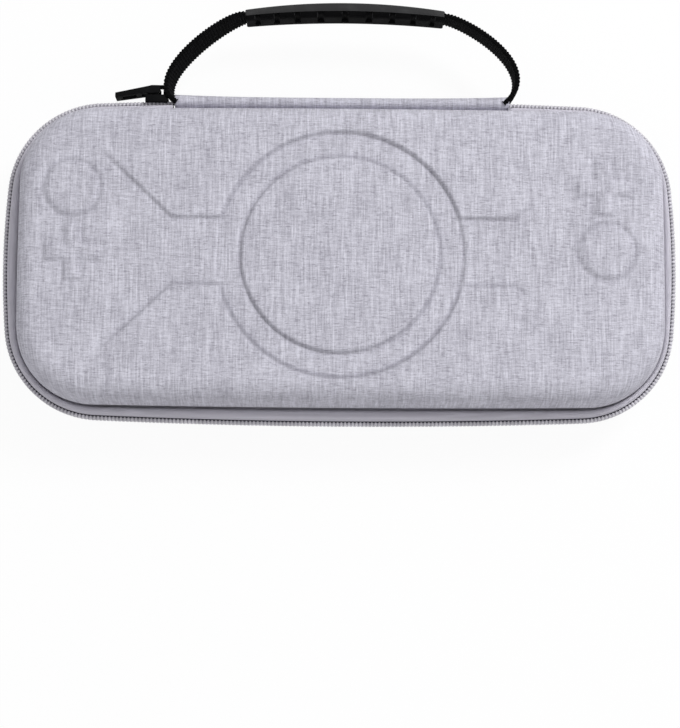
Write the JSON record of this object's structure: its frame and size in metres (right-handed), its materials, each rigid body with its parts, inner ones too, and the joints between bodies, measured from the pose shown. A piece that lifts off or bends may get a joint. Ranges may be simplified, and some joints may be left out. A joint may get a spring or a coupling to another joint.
{
  "type": "portable game console case",
  "caption": "Hard moulded zip case for a portable game console, with hinged lid, carry handle, console bay with holding straps, mesh pocket and card divider",
  "frame": {"origin": "under the middle of the whole part's box, handle included, on the plane that the two grip zones of the back stand on", "axes": "+X along the case to the right when the front face is seen with the handle at the top, +Y towards the handle and the hinge strip, +Z out of the front face"},
  "size_m": [0.3, 0.192, 0.0547],
  "materials": {
    "melange_cloth": "lilac-grey melange cloth pressed on foam",
    "zip_tape": "plain lilac-grey zip tape",
    "zip_teeth": "grey moulded coil teeth",
    "lining": "dark grey brushed lining",
    "elastic": "black ribbed elastic and tape",
    "hook_and_loop": "black hook and loop",
    "mesh": "black open mesh",
    "card_pocket": "black woven pocket cloth",
    "webbing": "black ribbed webbing",
    "grip_rubber": "matte black moulded rubber",
    "slider_metal": "black painted casting"
  },
  "bodies": {
    "back": {"back_shell": "melange_cloth", "back_zip_tape": "zip_tape", "back_zip_teeth": "zip_teeth", "back_binding": "lining", "upper_strap": "elastic", "lower_strap": "elastic", "hook_pad": "hook_and_loop", "loop_pad": "hook_and_loop"},
    "lid": {"front_shell": "melange_cloth", "front_zip_tape": "zip_tape", "front_zip_teeth": "zip_teeth", "front_binding": "lining", "mesh_pocket": "mesh", "pocket_elastic": "elastic", "divider_board": "lining", "divider_edging": "elastic", "divider_hinge_tape": "elastic", "card_row_upper": "card_pocket", "card_row_lower": "card_pocket"},
    "spine": {"hinge_strip": "melange_cloth"},
    "handle": {"handle_webbing": "webbing", "handle_grip": "grip_rubber"},
    "slider": {"zip_slider": "slider_metal"},
    "puller": {"zip_puller": "grip_rubber"}
  },
  "joints": [
    {"name": "lid_hinge", "type": "hinge", "parent": "back", "child": "lid", "pos_m": [0, 0.051, 0.028], "axis": [-1, 0, 0], "range_deg": [0, 100], "deforming": ["front_zip_tape", "back_zip_tape", "front_zip_teeth", "back_zip_teeth", "hinge_strip"]},
    {"name": "spine_turn", "type": "hinge", "parent": "back", "child": "spine", "pos_m": [0, 0.051, 0.028], "axis": [-1, 0, 0], "range_deg": [0, 34]},
    {"name": "handle_swing", "type": "hinge", "parent": "spine", "child": "handle", "pos_m": [0, 0.051, 0.028], "axis": [1, 0, 0], "range_deg": [-18, 18]},
    {"name": "zip_slide", "type": "slide", "parent": "spine", "child": "slider", "axis": [-1, 0, 0], "range_m": [0, 0.014]},
    {"name": "puller_swing", "type": "hinge", "parent": "slider", "child": "puller", "pos_m": [-0.083, 0.0555, 0.028], "axis": [0, 0, -1], "range_deg": [0, 90]}
  ],
  "couplings": [
    {"joint": "spine_turn", "follows": "lid_hinge", "ratio": 0.3333}
  ]
}
